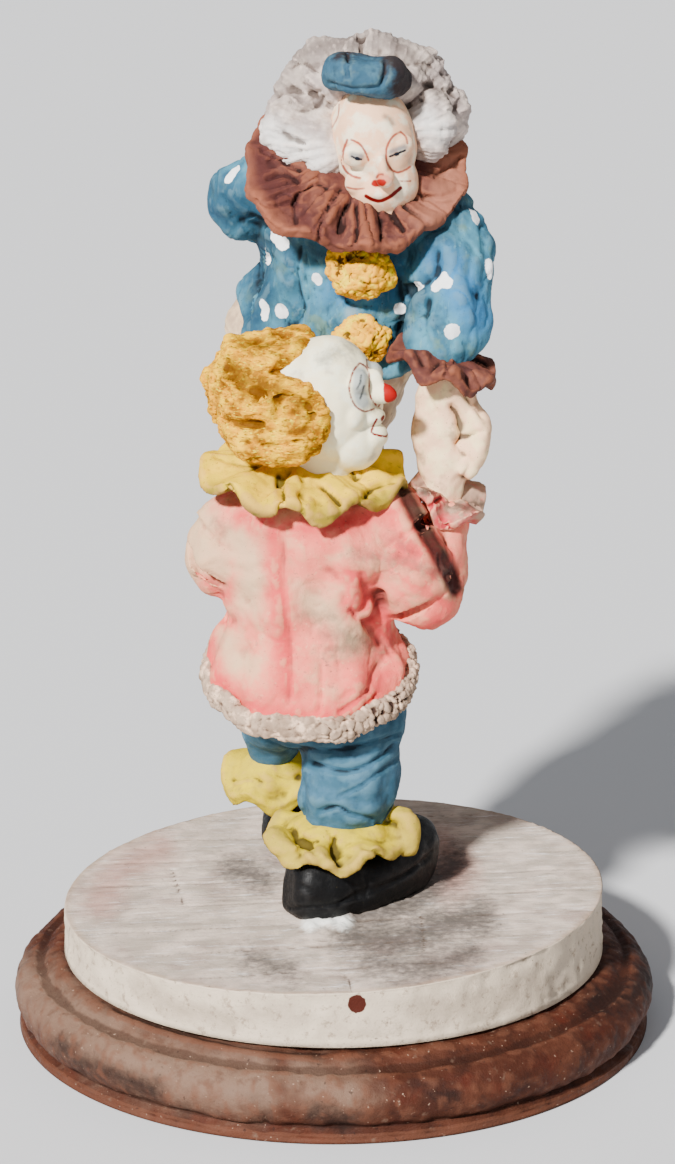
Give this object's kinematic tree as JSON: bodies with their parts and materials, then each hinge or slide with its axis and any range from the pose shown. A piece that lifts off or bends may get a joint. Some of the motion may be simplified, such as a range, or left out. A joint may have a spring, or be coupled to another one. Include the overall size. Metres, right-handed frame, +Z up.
{
  "type": "clown figurine",
  "caption": "Painted cast figurine of a tall clown stooping over a small one, hand in hand, on a planked disc and a turned round plinth.",
  "frame": {"origin": "centre of the plinth's underside, on the table", "axes": "+Z up, -Y towards the viewer who sees the small clown's back, +X to that viewer's right"},
  "size_m": [0.0958, 0.0958, 0.1455],
  "materials": {
    "plinth_paint": "matte brown paint, dusty and chipped",
    "white_plaster": "matte off-white paint with dirt in the grain",
    "painted_casting": "hand-painted in matte blue, pink, yellow, cream, brown and black"
  },
  "bodies": {
    "root": {"plinth": "plinth_paint", "floor_disc": "white_plaster", "clown_pair": "painted_casting"}
  },
  "joints": []
}
